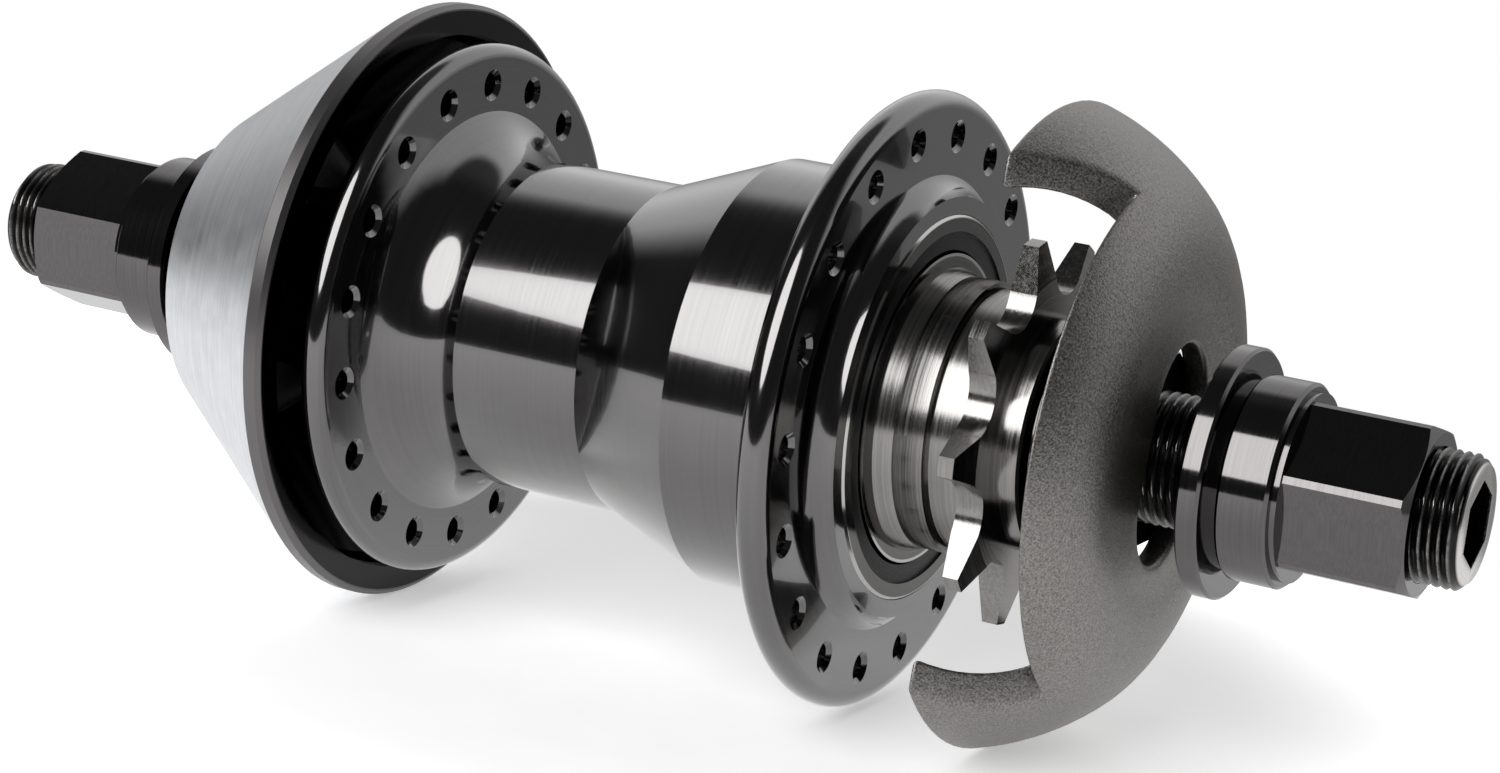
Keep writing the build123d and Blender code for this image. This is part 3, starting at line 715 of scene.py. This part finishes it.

# %% [markdown]
# ## Blasted steel
# Glass beads thrown at the casting pit it evenly, so it scatters light like fine sandpaper and
# Real pits are near 0.1 mm and smaller than a pixel here, so they're drawn at 0.22 mm, with softer
# dents of 1 mm below them. The beads don't reach the hollow side. Its near-black colour is painted
# shade, standing in for the shade behind the sprocket.

# %% Guard finish and piece
blasted_steel = new_finish("steel_cast_and_bead_blasted")
pits = speckle(blasted_steel, 0.22)
dents = speckle(blasted_steel, 1.1)
finish_surface(blasted_steel, {
    "Base Color": tint(blasted_steel, pits, "#5E5C5A", "#A09D9A"),
    "Metallic": 1.0,
    "Roughness": spread(blasted_steel, pits, 0.34, 0.5),
    "Normal": bumps(blasted_steel, pits, 0.05, bumps(blasted_steel, dents, 0.04)),
})
# Near-black colour for the hollow side: painted shade behind the sprocket.
hollow_side_painted_shade = new_finish("steel_cast_hollow_side_painted_shade")
inside_grain = speckle(hollow_side_painted_shade, 0.5)
finish_surface(hollow_side_painted_shade, {
    "Base Color": tint(hollow_side_painted_shade, inside_grain, "#161515", "#201F1F"),
    "Roughness": spread(hollow_side_painted_shade, inside_grain, 0.3, 0.42),
    "Normal": bumps(hollow_side_painted_shade, inside_grain, 0.01),
})
guard = new_piece(
    "ds_guard_cast", guard_points, guard_faces, [blasted_steel, hollow_side_painted_shade], "axle_set",
    "ds_guard", inner_faces,
)


def round_edges(piece, width, steps, sharper_than):
    """Round the edges that are sharper than an angle in degrees, and make the result final."""
    bevel = piece.modifiers.new("rounding", "BEVEL")
    bevel.width = width * MM
    bevel.segments = steps
    bevel.limit_method = "ANGLE"
    bevel.angle_limit = radians(sharper_than)
    bevel.use_clamp_overlap = False
    finished = bpy.data.meshes.new_from_object(
        piece.evaluated_get(bpy.context.evaluated_depsgraph_get())
    )
    piece.modifiers.clear()
    piece.data = finished
    print(piece.name, "has", len(finished.polygons), "faces after rounding")


EDGE_ROUNDING = 0.55
round_edges(guard, EDGE_ROUNDING, steps=4, sharper_than=40)
smooth_under(guard, 50)

# %% [markdown]
# ## Floor and background
# The hub lies on a white table, on the rims of its two guards. Only the lamp and the room light
# it, so the white that the camera sees is added in the floor's material, for rays from the
# camera, glossy rays and rays through glass, and in the world for rays from the camera and
# through glass. The added white grows with distance from the hub, so the table keeps its shadows
# and still runs out into white. Polished metal mirrors the room: a tall pale backdrop behind the
# hub, a dark ceiling above the backdrop, and a dark room in front.

# %% Floor
FLOOR_Z = -34.36
FLOOR_LEFT, FLOOR_RIGHT = -400.0, 400.0
FLOOR_FRONT, FLOOR_BACK = -195.0, 115.0
floor_corners = [
    (FLOOR_LEFT, FLOOR_FRONT), (FLOOR_RIGHT, FLOOR_FRONT),
    (FLOOR_RIGHT, FLOOR_BACK), (FLOOR_LEFT, FLOOR_BACK),
]
floor_mesh = bpy.data.meshes.new("table_top")
floor_mesh.from_pydata(
    [(x * MM, y * MM, FLOOR_Z * MM) for x, y in floor_corners], [], [(0, 1, 2, 3)]
)
floor_piece = bpy.data.objects.new("table_top", floor_mesh)
bpy.context.scene.collection.objects.link(floor_piece)
floor_piece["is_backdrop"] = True
print("table top lies at", FLOOR_Z, "mm")

# %% Table finish
NEAR_DISTANCE, FAR_DISTANCE = 0.07, 0.115
NEAR_LIFT, FAR_LIFT = 0.38, 1.0
table_white = new_finish("table_lacquered_matt_white")
path = add(table_white, "LightPath").outputs
seen = add(table_white, "Math", {
    0: path["Is Camera Ray"], 1: path["Is Transmission Ray"],
}, operation="MAXIMUM").outputs[0]
place = add(table_white, "TexCoord").outputs["Object"]
distance = add(table_white, "VectorMath", {0: place}, operation="LENGTH").outputs["Value"]
lift = add(table_white, "MapRange", {
    "Value": distance, "From Min": NEAR_DISTANCE, "From Max": FAR_DISTANCE,
    "To Min": NEAR_LIFT, "To Max": FAR_LIFT,
}, interpolation_type="SMOOTHSTEP").outputs["Result"]
seen_lift = add(table_white, "Math", {0: seen, 1: lift}, operation="MULTIPLY").outputs[0]
glossy_lift = add(table_white, "Math", {
    0: path["Is Glossy Ray"], 1: NEAR_LIFT, 2: seen_lift,
}, operation="MULTIPLY_ADD").outputs[0]
lacquer = add(table_white, "BsdfDiffuse", {
    "Color": tint(table_white, speckle(table_white, 8.0), "#F6F6F6", "#FAFAFA"),
})
glow = add(table_white, "Emission", {"Color": linear("#FFFFFF"), "Strength": glossy_lift})
both = add(table_white, "AddShader", {0: lacquer.outputs[0], 1: glow.outputs[0]})
add(table_white, "OutputMaterial", {"Surface": both.outputs[0]})
floor_mesh.materials.append(table_white)
print("table glows by", NEAR_LIFT, "near the hub and", FAR_LIFT, "far from it")

# %% World
# Brightness of the room in front, of the backdrop low down and high up, and of the ceiling's share.
FRONT_ROOM, LOW_BACK, TALL_BACK, CEILING_SHARE = 0.05, 0.3, 1.0, 0.12
# Each change runs between two heights, or two depths, on a sphere of radius 1 round the hub.
LOW_TO_TALL = (-0.05, 0.4)
FRONT_TO_BACK = (0.03, 0.38)
WALL_TO_CEILING = (0.78, 0.88)


def room_step(position, between, low, high):
    """Smooth change from one value to another between two positions."""
    return add(world, "MapRange", {
        "Value": position, "From Min": between[0], "From Max": between[1],
        "To Min": low, "To Max": high,
    }, interpolation_type="SMOOTHSTEP").outputs["Result"]


world = bpy.data.worlds.new("studio_room")
bpy.context.scene.world = world
world.use_nodes = True
world.node_tree.nodes.clear()
path = add(world, "LightPath").outputs
seen = add(world, "Math", {
    0: path["Is Camera Ray"], 1: path["Is Transmission Ray"],
}, operation="MAXIMUM").outputs[0]
way = add(world, "SeparateXYZ", {0: add(world, "TexCoord").outputs["Generated"]}).outputs
rise = room_step(way["Z"], LOW_TO_TALL, LOW_BACK, TALL_BACK)
behind = room_step(way["Y"], FRONT_TO_BACK, 0.0, 1.0)
under_ceiling = room_step(way["Z"], WALL_TO_CEILING, 1.0, CEILING_SHARE)
tall = add(world, "Math", {0: rise, 1: under_ceiling}, operation="MULTIPLY").outputs[0]
backdrop = add(world, "Mix", {0: behind, 2: FRONT_ROOM, 3: tall}, data_type="FLOAT").outputs[0]
brightness = add(world, "Mix", {0: seen, 2: backdrop, 3: 1.0}, data_type="FLOAT").outputs[0]
backdrop_light = add(world, "Background", {"Color": linear("#FFFFFF"), "Strength": brightness})
add(world, "OutputWorld", {"Surface": backdrop_light.outputs[0]})
print("backdrop runs from", LOW_BACK, "to", TALL_BACK)

# %% [markdown]
# ## Lamp
# One round soft box in front of the hub lights it. Its reflection is the white band along every
# barrel, and a wide lamp close by keeps the edges of its shadows soft.


# %% Soft box
def soft_box(name, azimuth, elevation, distance, radius, radiance):
    """Round lamp that faces the hub; radiance is how bright the box itself looks."""
    lamp = bpy.data.lights.new(name, "AREA")
    lamp.shape = "DISK"
    lamp.size = 2 * radius
    lamp.energy = radiance * pi * pi * radius * radius
    box = bpy.data.objects.new(name, lamp)
    way = Vector((
        cos(radians(elevation)) * cos(radians(azimuth)),
        cos(radians(elevation)) * sin(radians(azimuth)),
        sin(radians(elevation)),
    ))
    box.location = way * distance
    box.rotation_euler = way.to_track_quat("Z", "Y").to_euler()
    bpy.context.scene.collection.objects.link(box)
    print(name, "gives", round(lamp.energy, 2), "W")


soft_box(
    "soft_box_front", azimuth=-100.0, elevation=32.0, distance=0.7, radius=0.32, radiance=5.0
)

# %% [markdown]
# ## Camera
# The camera's place was worked out from the rings of spoke holes and the axle in the picture. It
# looks down at the sprocket side from a forearm's length away, through a short telephoto lens.

# %% Camera
CAMERA_PLACE = Vector((0.17274, -0.33446, 0.07722))
CAMERA_FORWARD = Vector((-0.43178, 0.87778, -0.20752))
CAMERA_UP = Vector((-0.18998, 0.13641, 0.97226))
FOCAL_LENGTH, SENSOR_WIDTH = 83.42, 36.0
NEAREST_SEEN = 0.01
camera_data = bpy.data.cameras.new("camera")
camera_data.sensor_width = SENSOR_WIDTH
camera_data.sensor_fit = "HORIZONTAL"
camera_data.lens = FOCAL_LENGTH
camera_data.clip_start = NEAREST_SEEN
camera = bpy.data.objects.new("camera", camera_data)
forward = CAMERA_FORWARD.normalized()
right = forward.cross(CAMERA_UP).normalized()
up = right.cross(forward)
turn_matrix = Matrix((right, up, -forward)).transposed().to_4x4()
camera.matrix_world = Matrix.Translation(CAMERA_PLACE) @ turn_matrix
bpy.context.scene.collection.objects.link(camera)
bpy.context.scene.camera = camera
bpy.context.scene.view_settings.view_transform = "Standard"
print("camera", round(CAMERA_PLACE.length, 3), "m from the hub's middle")

# %% Box of the dressed pieces
dressed_box = [list(corner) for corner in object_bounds()]
box_in_mm = [[round(value / MM, 1) for value in corner] for corner in dressed_box]
print("box with the new pieces in mm:", box_in_mm)
